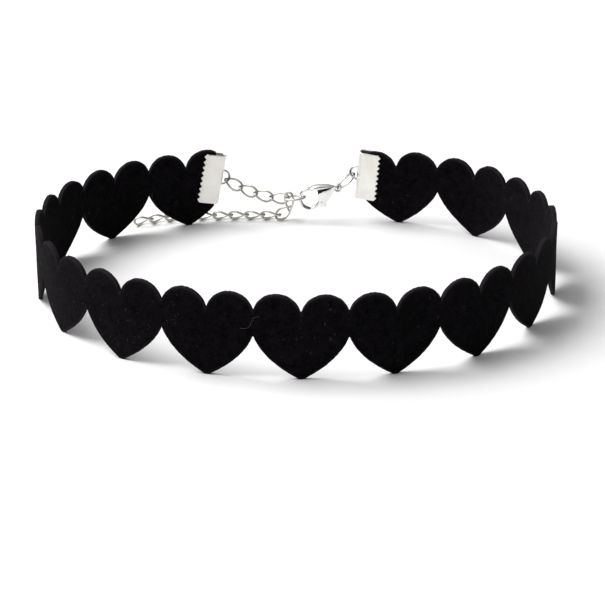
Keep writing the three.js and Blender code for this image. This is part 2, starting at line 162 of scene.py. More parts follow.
def unit(v):
    return v / np.linalg.norm(v, axis=-1, keepdims=True)


# Tube: path(t) + r (cos(a) n(t) + sin(a) m(t)), n the part of `away` square to the path.
def sweepWire(path, radius, sides, closed, away):
    if closed:
        tangent = unit(np.roll(path, -1, 0) - np.roll(path, 1, 0))
    else:
        tangent = unit(np.gradient(path, axis=0))
    n = unit(away - (away * tangent).sum(-1, keepdims=True) * tangent)
    m = np.cross(tangent, n)
    a = np.linspace(0, 2 * np.pi, sides, endpoint=False)
    ring = np.cos(a)[None, :, None] * n[:, None] + np.sin(a)[None, :, None] * m[:, None]
    return (path[:, None] + radius * ring).reshape(-1, 3)


# Points in a local frame whose three axes are the rows, put at a place.
def turned(rows, points, at):
    return points @ np.asarray(rows) + np.asarray(at)


# Points at even shares of the length of a bent line, its corners rounded by a B-spline.
def drawn(corners, stations):
    p = np.asarray(corners, float)
    p = np.concatenate([2 * p[:1] - p[1:2], p, 2 * p[-1:] - p[-2:-1]])
    t = np.linspace(0, 1, 12, endpoint=False)[None, :, None]
    a, b, c = p[:-2, None], p[1:-1, None], p[2:, None]
    line = ((1 - t) ** 2 * (a + b) / 2 + 2 * t * (1 - t) * b + t * t * (b + c) / 2).reshape(-1, 2)
    along = np.concatenate([[0], np.cumsum(np.linalg.norm(np.diff(line, axis=0), axis=1))])
    want = np.linspace(0, along[-1], stations)
    return np.stack([np.interp(want, along, line[:, k]) for k in (0, 1)], -1)


# the band's form

band = {
    "pitch": 20.0,
    "height": 19.1,
    "thickness": 1.0,
    "lobe": 5.1,  # radius of a lobe, and how far out its middle is
    "lobeOut": 5.05,
    "neckBottom": 9.75,
    "bow": (8.2, 4.6),  # where the side bows out, across and up
    "nose": (0.55, 0.9, 0.3),  # half of the flat, half of the nose, its rise
    "turns": [23, 27.5, 28, 29, 23.5, 23.5, 12, 16, 19.5, 25, 16.5, 35, 22.5, 31.5, 21.5],
    "leans": [-3.5, -7, -2.5, 0, 0.5, -1, 0, 1.5, 2.5, 1.5, 3, -0.5, -2, -3.5, -9],
    "endTurns": (0.0, -15.5),  # bend beyond endFrom, left and right
    "endFrom": 147.5,
    "front": (1.02, -46.48, -1.57),  # x, y and heading of the front heart
    "endHeartTurn": -2.2,  # the end hearts turn in their own plane, from a place on over a length
    "endHeartFrom": 127,
    "endHeartOver": 8,
}
clamps = {
    "depth": 5.5,
    "height": 12.6,
    "wall": 0.42,
    "rows": 145,  # rows of points up the clamp
    "clearance": 0.3,
    "toothPitch": 1.4,
    "toothDepth": 0.6,
    "bite": (0.26, 1.7),  # how far the jaws bend in, and over what length
    "rounding": 0.09,
    "feltIn": 4.55,  # how deep the felt goes in
    "loop": {"wire": 0.52, "out": 1.9, "half": 1.8, "in": 0.25, "sides": 12},
    "left": {"side": -1, "at": -145.7, "tilt": 10.1, "z": 11.95, "loopUp": 0.5},
    "right": {"side": 1, "at": 147.5, "tilt": 6.5, "z": 12.4, "loopUp": 0.2},
}

endHeart = 140.0
heartAt = np.arange(-7, 8) * band["pitch"]


# Bend in degrees over one pitch, interpolated between hearts and to the straight ends.
def bendAt(s):
    turns = np.interp(s, heartAt, band["turns"])
    atEnd = np.where(s < 0, band["endTurns"][0], band["endTurns"][1])
    share = np.clip((np.abs(s) - endHeart) / (band["endFrom"] - endHeart), 0, 1)
    return turns + (atEnd - turns) * share


walkStep = 0.05
walkS = np.arange(-152, 152.001, walkStep)


# Heading, x and y at walkS: the bend summed in small steps, and the front heart put in its place.
def walkBand():
    frontX, frontY, frontHeading = band["front"]
    bends = np.cumsum(bendAt(walkS[:-1] + walkStep / 2) * walkStep / band["pitch"])
    heading = np.radians(np.concatenate([[0], bends]))
    heading += np.radians(frontHeading) - np.interp(0, walkS, heading)
    between = (heading[1:] + heading[:-1]) / 2
    x = np.concatenate([[0], np.cumsum(np.cos(between) * walkStep)])
    y = np.concatenate([[0], np.cumsum(np.sin(between) * walkStep)])
    return heading, x + (frontX - np.interp(0, walkS, x)), y + (frontY - np.interp(0, walkS, y))


walkHeading, walkX, walkY = walkBand()


# Where a place along the band is in its own heart, from the heart's middle.
def inHeart(s):
    half = band["pitch"] / 2
    return (s + half) % band["pitch"] - half


def leanAt(s):
    return np.radians(np.interp(s, heartAt, band["leans"]))


# Point of the band: plan(s) + outward(s) (out + (z - H/2) tan(lean(s))), at height z.
def bandPoint(s, z, out):
    heading = np.interp(s, walkS, walkHeading)
    reach = out + (z - band["height"] / 2) * np.tan(leanAt(s))
    x = np.interp(s, walkS, walkX) + np.sin(heading) * reach
    y = np.interp(s, walkS, walkY) - np.cos(heading) * reach
    return np.stack(np.broadcast_arrays(x, y, z), -1)


# Points of the two end hearts turned about their tips, as they hang in their clamps.
def turnEndHeart(s, z):
    side = np.sign(s)
    t = np.clip((side * s - band["endHeartFrom"]) / band["endHeartOver"], 0, 1)
    angle = np.radians(band["endHeartTurn"]) * t * t * (3 - 2 * t)
    tip = side * endHeart
    ts = tip + (s - tip) * np.cos(angle) - z * np.sin(angle)
    tz = np.maximum((s - tip) * np.sin(angle) + z * np.cos(angle), 0)
    return ts, tz


# Two round lobes: H - r + sqrt(r^2 - (|u| - a)^2).
def lobeTop(u):
    across = np.abs(u) - band["lobeOut"]
    return band["height"] - band["lobe"] + np.sqrt(np.maximum(band["lobe"] ** 2 - across ** 2, 0))


# Bowed side: a quadratic Bezier from the neck to the nose, and a small flat nose.
def sideBottom(u):
    flat, half, rise = band["nose"]
    bowOut, bowUp = band["bow"]
    t = np.linspace(0, 1, 200)
    x = (1 - t) ** 2 * band["pitch"] / 2 + 2 * t * (1 - t) * bowOut + t * t * half
    z = (1 - t) ** 2 * band["neckBottom"] + 2 * t * (1 - t) * bowUp + t * t * rise
    x = np.concatenate([x, [flat, 0]])[::-1]
    z = np.concatenate([z, [0, 0]])[::-1]
    return np.interp(np.abs(u), x, z)


# Rows x, y, z of a clamp and its middle: x away from the hearts, z up the clamp.
def clampFrame(end):
    heading = np.interp(end["at"], walkS, walkHeading)
    lean, tilt = leanAt(end["at"]), np.radians(end["tilt"])
    along = np.array([np.cos(heading), np.sin(heading), 0])
    outward = np.array([along[1], -along[0], 0])
    up = np.array([0, 0, np.cos(lean)]) + outward * np.sin(lean)
    x = (along * np.cos(tilt) + up * np.sin(tilt)) * end["side"]
    z = up * np.cos(tilt) - along * np.sin(tilt)
    return np.stack([x, np.cross(z, x), z]), bandPoint(end["at"], end["z"], 0.0)


# finishes


def feltFinish():
    f = Finish("feltBlack")
    nap = f.noise(2300, 4, 0.75)
    clump = f.noise(520, 3, 0.6)
    broad = f.noise(70, 2, 0.5)
    lint = f.ramp(f.noise(1500, 1, 0.4, f.stretch((1.0, 1.0, 0.55))), (0.71, 0.0), (0.79, 1.0))
    lintHere = lint * f.ramp(broad, (0.44, 0.08), (0.64, 1.0))
    tone = f.ramp(nap * 0.55 + clump * 0.33 + broad * 0.12, (0.38, 0.0), (0.66, 1.0))
    base = f.mix(tone, (0.0003, 0.0003, 0.0003, 1), (0.0084, 0.0069, 0.0088, 1))
    # painted highlight: the cut edge and the face just below the top edge are made paler, standing in for
    # light that the rounded top edge catches from above
    base = f.mix(f.share("cut") * (nap * 0.8 + 0.5), base, (0.020, 0.0175, 0.0205, 1))
    base = f.mix(lintHere * 0.5, base, (0.055, 0.051, 0.055, 1))
    f.set({"Base Color": base, "Roughness": 0.95, "Specular IOR Level": 0.03})
    f.set({"Sheen Weight": 0.014, "Sheen Roughness": 0.5, "Sheen Tint": (0.92, 0.84, 0.9, 1)})
    f.bump(nap * 0.6 + clump * 0.4, 0.9, 0.00022)
    return f


# One even colour with a little mottling, for loose fibres.
def fibreFinish(name, dark, pale):
    f = Finish(name)
    mottled = f.mix(f.noise(3000, 2, 0.5), dark, pale)
    f.set({"Base Color": mottled, "Roughness": 0.85, "Specular IOR Level": 0.1})
    return f


# Colours of each metal where it is pale and dark, and the colour of painted shade on it, and its grain. The
# bump's depth is in metres.
metals = {
    "clampSatin": {
        "colours": ((0.92, 0.907, 0.867, 1), (0.84, 0.824, 0.765, 1), (0.4, 0.39, 0.35, 1)),
        "roughness": 0.48, "grain": 3200, "depth": 0.00003, "hatch": 0.5,
    },
    "chainSilver": {
        "colours": ((0.80, 0.79, 0.75, 1), (0.58, 0.57, 0.52, 1), (0.13, 0.125, 0.1, 1)),
        "roughness": 0.36, "grain": 900, "depth": 0.00001, "hatch": 0,
    },
    "clampLoop": {
        "colours": ((0.80, 0.79, 0.76, 1), (0.62, 0.61, 0.58, 1), (0.12, 0.115, 0.1, 1)),
        "roughness": 0.36, "grain": 900, "depth": 0.00001, "hatch": 0,
    },
    "claspSilver": {
        "colours": ((0.88, 0.88, 0.87, 1), (0.74, 0.74, 0.725, 1), (0.13, 0.13, 0.12, 1)),
        "roughness": 0.24, "grain": 700, "depth": 0.000008, "hatch": 0,
    },
    # painted shade: a near-black metal for the slot between bar and cheeks, where there is only shade
    "claspSlotShade": {
        "colours": ((0.04, 0.04, 0.037, 1), (0.02, 0.02, 0.018, 1), (0.02, 0.02, 0.02, 1)),
        "roughness": 0.5, "grain": 700, "depth": 0.00001, "hatch": 0,
    },
}


# Polished or satin metal: cloudy colour, painted shade that makes it darker, and rougher, where its shade
# share is 1, fine bump.
def metalFinish(name):
    f = Finish(name)
    look = metals[name]
    pale, dark, shadeAndDull = look["colours"]
    cloud = f.noise(260, 3, 0.55)
    fine = f.noise(look["grain"], 3, 0.6)
    # painted shade: this share turns the base towards the dark shade colour, and also raises the roughness
    shadeAndDullShare = f.share("shadeAndDull")
    base = f.mix(f.ramp(cloud, (0.35, 0.0), (0.7, 1.0)), dark, pale)
    roughness = fine * 0.16 + shadeAndDullShare * 0.15 + (look["roughness"] - 0.08)
    f.set({"Base Color": f.mix(shadeAndDullShare, base, shadeAndDull), "Metallic": 1.0, "Roughness": roughness})
    relief = fine
    if look["hatch"]:
        bands = {"wave_type": "BANDS", "bands_direction": "DIAGONAL"}
        values = {"Vector": f.place, "Scale": 900, "Distortion": 1.5}
        lines = f.node("ShaderNodeTexWave", bands, values, "Fac")
        relief = fine + lines * look["hatch"]
    f.bump(relief, 0.5, look["depth"])
    return f


felt = feltFinish()
fuzz = fibreFinish("feltFibre", (0.004, 0.0035, 0.004, 1), (0.016, 0.0145, 0.0165, 1))
lint = fibreFinish("lintGrey", (0.06, 0.058, 0.062, 1), (0.16, 0.155, 0.16, 1))
metal = {name: metalFinish(name) for name in metals}
print("finishes made")

# felt band

feltMesh = {
    "perHeart": 84,
    "crowd": 0.055,  # how much stations crowd towards clefts and necks
    "faceRows": 22,
    "rowCrowd": 0.05,
    "cornerSteps": 4,
    "edge": 0.13,  # radius of the cut edge
    "steepest": 2.0,  # most that a slanting edge widens the rounding
    "wave": 0.05,
    "ragged": 0.034,
    "cleft": 15.25,
    "spare": 0.3,  # stations kept beyond the cut, which are drawn back to it
}
# where the felt is cut, inside the left and the right clamp
feltEnds = []
for end in (clamps["left"], clamps["right"]):
    feltEnds.append(end["side"] * (abs(end["at"]) - clamps["depth"] / 2 + clamps["feltIn"]))


# Stations along the band, and where they are in their heart. They crowd towards the cleft and the necks,
# where the outline turns fastest.
def feltStations():
    per = feltMesh["perHeart"]
    q = np.linspace(-1, 1, per + 1)[:-1] + 1 / per
    u = band["pitch"] / 2 * (q - feltMesh["crowd"] * np.sin(2 * np.pi * q))
    s = (heartAt[:, None] + u[None, :]).ravel()
    u = np.tile(u, len(heartAt))
    kept = (s > feltEnds[0] - feltMesh["spare"]) & (s < feltEnds[1] + feltMesh["spare"])
    return s[kept], u[kept]


# Closed loop across the felt at each station: two faces, two rounded edges.
def feltBand():
    s, u = feltStations()
    half, r, steps = band["thickness"] / 2, feltMesh["edge"], feltMesh["cornerSteps"]
    corner = np.radians(np.linspace(0, 90, steps + 1))
    inset = np.concatenate([r - r * np.sin(corner), [0.0], (r - r * np.sin(corner))[::-1]])
    out = np.concatenate([half - r + r * np.cos(corner), [0.0], -(half - r + r * np.cos(corner))[::-1]])

    # length of the outline to the length along the band
    def steepness(curve, step=0.05):
        slope = (curve(u + step) - curve(u - step)) / (2 * step)
        return np.minimum(np.sqrt(1 + slope ** 2), feltMesh["steepest"])

    # a cut felt edge wanders and stands proud by a few hundredths, but not at the tips on the table
    ragged = np.sin(s * 4.1 + 2 * np.sin(s * 1.3)) + 0.7 * np.sin(s * 9.7 + 1.7 * np.sin(s * 2.9))
    # the die leaves the bottom of the cleft a little blunt
    top = np.maximum(lobeTop(u), feltMesh["cleft"]) + feltMesh["ragged"] * (ragged + 1.4)
    low = sideBottom(u)
    low = low + feltMesh["ragged"] * (np.roll(ragged, 7) - 1.4) * np.clip((low - 0.3) / 3, 0, 1)
    topInset = inset[None, :] * steepness(lobeTop)[:, None]
    lowInset = inset[None, :] * steepness(sideBottom)[:, None]
    share = np.linspace(0, 1, feltMesh["faceRows"] + 2)[1:-1]
    share = share - feltMesh["rowCrowd"] * np.sin(2 * np.pi * share)
    z1, z0 = top[:, None] - topInset, low[:, None] + lowInset
    front = z0[:, :1] + (z1[:, :1] - z0[:, :1]) * share[None, :]
    z = np.concatenate([front, z1, front[:, ::-1], z0[:, ::-1]], 1)
    ones = np.ones(len(share))
    o = np.concatenate([half * ones, out, -half * ones, out[::-1]])[None, :] * np.ones_like(z)
    ts, tz = turnEndHeart(s[:, None] * np.ones_like(z), z)
    tz = np.where(z <= 0, 0, tz)
    # both ends are cut square to their clamp
    for end, at in zip((clamps["left"], clamps["right"]), feltEnds):
        cut = at - np.tan(np.radians(end["tilt"])) * (tz - end["z"])
        ts = np.where(end["side"] * ts > end["side"] * cut, cut, ts)
    # the felt is never quite even: a few long waves in its thickness and its face
    wave = np.sin(ts / 3.1 + 1.3 * np.sin(tz / 4.7)) * np.sin(tz / 3.7 + 0.6 * np.sin(ts / 5.3))
    o = o + feltMesh["wave"] * wave * np.clip(np.abs(o) / half, 0, 1)
    points = bandPoint(ts, tz, o)
    piece = makePiece("feltBand", points.reshape(-1, 3), cappedFaces(*z.shape), felt, "felt")
    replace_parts(piece, "heart_band")
    # painted highlight: pale on the top edge, less on the lower edge, and fading in half a millimetre down
    # the faces
    highlightBelowTop = 0.6 * np.exp(-(top[:, None] - front) / 0.5)
    cut = [highlightBelowTop, np.ones_like(z1), highlightBelowTop[:, ::-1], 0.6 * np.ones_like(z0)]
    setShare(piece, "cut", np.concatenate(cut, 1))
    return piece


feltPiece = feltBand()
print("felt band made")

fibres = {
    "seed": 11,
    "edge": 5200,
    "face": 2400,
    "length": (0.3, 0.9),
    "radius": 0.015,
    "steps": 4,
    "clear": 0.9,  # lowest root above the table
}
lints = {
    "seed": 5,
    "count": 80,
    "length": (0.3, 0.9),
    "radius": 0.022,
    "lean": 1.5,  # radians from upright, so that specks lie nearly flat
    "steps": 6,
    "hairRadius": 0.026,
    "hairSteps": 60,
    "hairSides": 8,
    "hair": [(-12.2, 11.3), (-11.3, 11.3), (-10.5, 11.9), (-10.2, 13.3), (-9.6, 14.0), (-8.8, 14.1)],
}


# Tapered three-sided hairs: base + L q (n cos lean + t sin lean) + L q^2 curl b, r (1 - 0.8 q) across.
def hairMesh(base, normal, length, lean, curl, radius, steps, random):
    count = len(base)
    side = unit(np.cross(normal, unit(random.normal(size=(count, 3)))))
    third = np.cross(normal, side)
    q = np.linspace(0, 1, steps)[None, :, None]
    aim = normal * np.cos(lean)[:, None] + side * np.sin(lean)[:, None]
    bent = q * aim[:, None] + q * q * curl[:, None, None] * third[:, None]
    path = base[:, None] + length[:, None, None] * bent
    a = np.linspace(0, 2 * np.pi, 3, endpoint=False)[None, None, :, None]
    ring = np.cos(a) * third[:, None, None] + np.sin(a) * np.cross(aim, third)[:, None, None]
    points = path[:, :, None] + radius * (1 - 0.8 * q)[..., None] * ring
    quads = gridFaces(steps, 3, closeColumns=True)
    ends = np.array([[2, 1, 0], [0, 1, 2]]) + [[0], [3 * (steps - 1)]]
    one = np.concatenate([quads[:, [0, 1, 2]], quads[:, [0, 2, 3]], ends])
    faces = one[None] + (np.arange(count) * 3 * steps)[:, None, None]
    return points.reshape(-1, 3), faces.reshape(-1, 3)


# Fuzz: hairs that stand off the cut edges and lie on the faces of the felt.
def feltFuzz():
    random = np.random.default_rng(fibres["seed"])
    mesh = feltPiece.data
    points, normals = np.empty(len(mesh.vertices) * 3), np.empty(len(mesh.vertices) * 3)
    mesh.vertices.foreach_get("co", points)
    mesh.vertices.foreach_get("normal", normals)
    points, normals = points.reshape(-1, 3) / mm, normals.reshape(-1, 3)
    # each half of a loop across the felt is one face and then one edge
    halfLoop = feltMesh["faceRows"] + 2 * feltMesh["cornerSteps"] + 3
    onEdge = np.arange(len(points)) % halfLoop >= feltMesh["faceRows"]
    picked = [random.choice(np.flatnonzero(onEdge), fibres["edge"])]
    picked.append(random.choice(np.flatnonzero(~onEdge), fibres["face"]))
    picked = np.concatenate(picked)
    count, atEdge = len(picked), onEdge[picked]
    # hairs of the edge stand up and are shorter, those of the faces lie flat
    lean = np.where(atEdge, 0.1, 1.1) + random.uniform(0, 0.7, count) * np.where(atEdge, 1.4, 0.45)
    length = random.uniform(*fibres["length"], count) * np.where(atEdge, 0.7, 1.0)
    curl = random.uniform(-0.5, 0.5, count)
    normal = normals[picked]
    base = points[picked] - 0.03 * normal
    keep = base[:, 2] > fibres["clear"]
    hairs = [values[keep] for values in (base, normal, length, lean, curl)]
    made = hairMesh(*hairs, fibres["radius"], fibres["steps"], random)
    return makePiece("feltFuzz", *made, fuzz, "felt")


# Specks of pale lint on the outside, thickest on the left, and one long curled hair beside the front heart.
def feltLint():
    random = np.random.default_rng(lints["seed"])
    count = lints["count"]
    # most are left of the front heart, and a fifth of them 60 mm further right
    s = -20 - 70 * random.beta(1.2, 2.0, count) + 60 * (random.uniform(size=count) > 0.8)
    u = inHeart(s)
    z = sideBottom(u) + 1 + (lobeTop(u) - sideBottom(u) - 2) * random.uniform(0, 1, count)
    heading = np.interp(s, walkS, walkHeading)
    normal = np.stack([np.sin(heading), -np.cos(heading), 0 * s], -1)
    base = bandPoint(s, z, band["thickness"] / 2 + 0.02)
    length = random.uniform(*lints["length"], count)
    curl = random.uniform(-0.8, 0.8, count)
    lean = np.full(count, lints["lean"])
    made = hairMesh(base, normal, length, lean, curl, lints["radius"], lints["steps"], random)
    specks = makePiece("lintSpecks", *made, lint, "felt")
    steps, sides = lints["hairSteps"], lints["hairSides"]
    s, z = drawn(lints["hair"], steps).T
    path = bandPoint(s, z, band["thickness"] / 2 + 0.07 + 0.04 * np.sin(s * 3))
    tube = sweepWire(path, lints["hairRadius"], sides, False, np.array([[0, -1.0, 0]]))
    return specks, makePiece("lintHair", tube, cappedFaces(steps, sides), lint, "felt")


onFelt = (feltFuzz(), *feltLint())
print("fibres made")

# ribbon clamps


# U-shaped sheet: jaw, round fold, jaw, with a toothed edge x0(z) on both jaws.
def clampSheetPoints():
    inner = band["thickness"] / 2 + clamps["clearance"]
    m = inner + clamps["wall"] / 2
    foldAt = clamps["depth"] - m - clamps["wall"] / 2
    z = np.linspace(-clamps["height"] / 2, clamps["height"] / 2, clamps["rows"])
    phase = np.abs(((z + clamps["height"] / 2) / clamps["toothPitch"] + 0.5) % 1 * 2 - 1)
    x0 = clamps["toothDepth"] * (1 - phase)
    jaw = np.concatenate([np.linspace(0, 0.3, 9)[:-1], np.linspace(0.3, 1, 12)])
    xJaw = x0[:, None] + (foldAt - x0[:, None]) * jaw[None, :]
    # the end of each jaw bends in to bite the felt
    biteIn, biteFrom = clamps["bite"]
    bite = biteIn * np.clip(1 - xJaw / biteFrom, 0, 1) ** 1.5
    a = np.radians(np.linspace(-90, 90, 15))[1:-1]
    xFold = foldAt + m * np.cos(a)[None, :] * np.ones((len(z), 1))
    yFold = m * np.sin(a)[None, :] * np.ones((len(z), 1))
    x = np.concatenate([xJaw, xFold, xJaw[:, ::-1]], 1)
    y = np.concatenate([-(m - bite), yFold, (m - bite)[:, ::-1]], 1)
    return np.stack([x - clamps["depth"] / 2, y, z[:, None] * np.ones_like(x)], -1)


def ribbonClamp(name, end, node):
    rows, at = clampFrame(end)
    sheet = clampSheetPoints()
    faces = gridFaces(*sheet.shape[:2])
    piece = makePiece(name, turned(rows, sheet.reshape(-1, 3), at), faces, metal["clampSatin"], "clamp_metal")
    solid = piece.modifiers.new("wall", "SOLIDIFY")
    solid.thickness = clamps["wall"] * mm
    solid.offset = 0
    bevel = piece.modifiers.new("rounded", "BEVEL")
    bevel.width = clamps["rounding"] * mm
    bevel.segments = 2
    bevel.limit_method = "ANGLE"
    bevel.angle_limit = np.radians(50)
    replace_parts(piece, node)
    # half an oval of wire whose ends go into the fold
    wire = clamps["loop"]
    a = np.radians(np.linspace(-90, 90, 33))
    start = clamps["depth"] / 2 - wire["in"]
    path = np.stack([start + wire["out"] * np.cos(a), 0 * a, end["loopUp"] + wire["half"] * np.sin(a)], -1)
    path = np.concatenate([path[:1] - [[0.3, 0, 0]], path, path[-1:] - [[0.3, 0, 0]]])
    away = path - np.array([start - 1.0, 0, end["loopUp"]])
    tube = turned(rows, sweepWire(path, wire["wire"] / 2, wire["sides"], False, away), at)
    faces = cappedFaces(len(path), wire["sides"])
    loop = makePiece(name + "Loop", tube, faces, metal["clampLoop"], "clamp_metal")
    # painted shade: the loop is darker and rougher at its middle, where the chain hangs in it
    shadeAlong = np.concatenate([[0], np.cos(a) ** 6, [0]])
    setShare(loop, "shadeAndDull", np.repeat(shadeAlong, wire["sides"]))


ribbonClamp("leftClamp", clamps["left"], "left_clamp")
ribbonClamp("rightClamp", clamps["right"], "right_clamp")
print("clamps made")


# The height of the hearts, lobeTop - sideBottom, at points from cut to cut; it is neither summed nor used.
def declareFelt():
    left, right = feltEnds
    s = np.linspace(left, right, 6001)
    height = lobeTop(inHeart(s)) - sideBottom(inHeart(s))


declareFelt()

# chain

links = {"length": 5.3, "width": 3.3, "wire": 0.55, "twist": 45.0, "steps": 56, "sides": 12}
jump = {"wire": 0.6, "steps": 72, "sides": 12}
plainLinks = {"chain_link_05": 0.0, "chain_link_06": 20.0}


# Middle and principal axes of a node's own points, longest first.
def nodeAxes(name):
    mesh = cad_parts[name].data
    points = np.empty(len(mesh.vertices) * 3)
    mesh.vertices.foreach_get("co", points)
    points = np.unique(np.round(points.reshape(-1, 3) / mm, 4), axis=0)
    centre = points.mean(0)
    _, _, rows = np.linalg.svd(points - centre, full_matrices=False)
    rows[2] = np.cross(rows[0], rows[1])
    return centre, rows, points


# (a cos f, b sin f cos t, b sin f sin t), t = twist cos f, with wire round it.
def chainLink(name):
    centre, rows, _ = nodeAxes(name)
    a, b = (links["length"] - links["wire"]) / 2, (links["width"] - links["wire"]) / 2
    f = np.linspace(0, 2 * np.pi, links["steps"], endpoint=False)
    t = np.radians(plainLinks.get(name, links["twist"])) * np.cos(f)
    path = np.stack([a * np.cos(f), b * np.sin(f) * np.cos(t), b * np.sin(f) * np.sin(t)], -1)
    tube = turned(rows, sweepWire(path, links["wire"] / 2, links["sides"], True, path), centre)
    faces = gridFaces(links["steps"], links["sides"], True, True)
    number = name.split("_")[-1]
    piece = makePiece("chainLink" + number, tube, faces, metal["chainSilver"], "chain_metal")
    # painted shade: darker and rougher where links hang in each other, most on the inside of the bend
    around = 0.6 + 0.4 * np.cos(np.linspace(0, 2 * np.pi, links["sides"], endpoint=False) + np.pi)
    setShare(piece, "shadeAndDull", np.abs(np.cos(f))[:, None] ** 10 * around[None, :])
    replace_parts(piece, name)


for name in sorted(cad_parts):
    if name.startswith("chain_link_"):
        chainLink(name)


# Circle c + R (cos f x + sin f y) of round wire, as wide as its node.
def jumpRing():
    centre, rows, points = nodeAxes("jump_ring")
    outer = np.linalg.norm(points - centre, axis=1).max()
    f = np.radians(np.linspace(0, 360, jump["steps"], endpoint=False))
    path = (outer - jump["wire"] / 2) * np.stack([np.cos(f), np.sin(f), 0 * f], -1)
    tube = turned(rows, sweepWire(path, jump["wire"] / 2, jump["sides"], True, path), centre)
    faces = gridFaces(jump["steps"], jump["sides"], True, True)
    piece = makePiece("jumpRing", tube, faces, metal["claspSilver"], "clasp_metal")
    # painted shade: darker and rougher where it hangs in the loop and where the eye hangs in it
    toLoop = (clampFrame(clamps["right"])[1] - centre) @ rows.T
    aim = np.arctan2(toLoop[1], toLoop[0])
    setShare(piece, "shadeAndDull", np.repeat(np.abs(np.cos(f - aim)) ** 12, jump["sides"]))
    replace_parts(piece, "jump_ring")


jumpRing()
print("chain made")

# clasp

# Outlines are (along, up) in the clasp's own plane, from the middle of the claw towards the eye.
clasp = {
    "at": (3.24, 44.198, 6.15),
    "rise": 21.5,
    "heading": 0.59,
    "claw": (2.375, 2.55),  # half of the claw's oval, along and up
    "hook": (48.0, 254.0),  # the part of the oval that is hook
    "hookWire": (0.38, 0.52),  # half of the hook's section, in the plane and across
    "pivot": (2.3, -1.75),
    "rivet": {"radius": 0.34, "out": 0.9, "dome": 0.13, "in": 0.7},
    "eye": {"at": 7.3, "radius": 0.85, "wire": (0.25, 0.42)},
    "barHalf": (0.864, 1.08, 1.08, 0.5),  # half thickness from the claw to the eye
    "cheek": {"at": 0.7, "half": (0.2, 0.24)},
    "coreHalf": (0.5, 0.5),
    "leverHalf": 0.45,
    "barLow": [(1.15, 2.02), (2.0, 1.75), (2.35, 1.4), (3.2, 1.22), (4.8, 1.02), (6.0, 0.84), (6.75, 0.42)],
    "barTop": [(1.0, 2.66), (1.8, 2.86), (2.9, 2.76), (4.2, 2.32), (5.4, 1.7), (6.4, 1.05), (7.0, 0.5)],
    "cheekLeft": [(2.2, 0.42), (2.02, 0.0), (1.78, -0.9), (1.5, -1.9), (1.62, -2.5)],
    "cheekRight": [(6.85, 0.42), (5.95, -0.35), (4.9, -1.25), (3.8, -2.1), (2.6, -2.78)],
    "coreLeft": [(2.5, 1.9), (2.4, 1.0), (2.2, 0.2), (2.15, -0.3)],
    "coreRight": [(5.0, 1.5), (6.4, 0.7), (6.0, 0.1), (5.5, -0.3)],
    # tip and underside, thumb tab, round the pivot, and back along the top
    "lever": [
        (-0.62, -2.74), (-0.5, -2.86), (0.4, -2.92), (1.4, -2.72), (2.0, -2.66),
        (2.35, -3.15), (2.65, -3.44), (3.05, -3.2), (2.95, -2.3),
        (3.08, -1.75), (2.75, -1.2), (2.2, -1.0), (1.6, -1.3),
        (1.0, -1.86), (0.3, -2.12), (-0.42, -2.2), (-0.58, -2.3),
    ],
    "leverSpine": [(-0.1, -2.5), (1.1, -2.35), (2.3, -1.9)],
}
rise, turn = np.radians(clasp["rise"]), np.radians(clasp["heading"])
claspRows = np.array([
    [np.cos(rise) * np.cos(turn), np.cos(rise) * np.sin(turn), np.sin(rise)],
    [-np.sin(turn), np.cos(turn), 0],
    [-np.sin(rise) * np.cos(turn), -np.sin(rise) * np.sin(turn), np.cos(rise)],
])


# Closed curve that rounds the corners: the periodic quadratic B-spline of the points.
def smoothLoop(corners, steps):
    p = np.asarray(corners, float)
    t = np.linspace(0, 1, steps, endpoint=False)[None, :, None]
    a, b, c = (np.roll(p, k, 0)[:, None] for k in (1, 0, -1))
    curve = (1 - t) ** 2 * (a + b) / 2 + 2 * t * (1 - t) * b + t * t * (b + c) / 2
    return curve.reshape(-1, 2)


# Closest points of a bent line to the points p.
def nearestOn(line, p):
    best, far = np.zeros_like(p), np.full(len(p), np.inf)
    for a, b in zip(line[:-1], line[1:]):
        share = np.clip(((p - a) @ (b - a)) / ((b - a) @ (b - a)), 0, 1)
        q = a + share[:, None] * (b - a)
        d = np.linalg.norm(p - q, axis=1)
        best = np.where((d < far)[:, None], q, best)
        far = np.minimum(far, d)
    return best, far


# Cushion over a flat outline: p = c + (o - c) k, y = +-half sqrt(1 - (1 - d / rounding)^2).
def pillow(outline, spine, half, rounding):
    centre, reach = nearestOn(np.asarray(spine, float), outline)
    k = 1 - np.concatenate([[0, 0.012, 0.035, 0.07, 0.12, 0.18, 0.25], np.linspace(0.33, 1, 12)])
    flat = centre[None] + (outline - centre)[None] * k[:, None, None]
    deep = np.clip(reach[None] * (1 - k[:, None]) / rounding, 0, 1)
    y = half * np.sqrt(1 - (1 - deep) ** 2)
    near = np.stack([flat[..., 0], -y, flat[..., 1]], -1)
    away = np.stack([flat[..., 0], y, flat[..., 1]], -1)[1:]
    grid = np.concatenate([near[::-1], away])
    return grid.reshape(-1, 3), gridFaces(len(grid), len(outline), closeColumns=True)


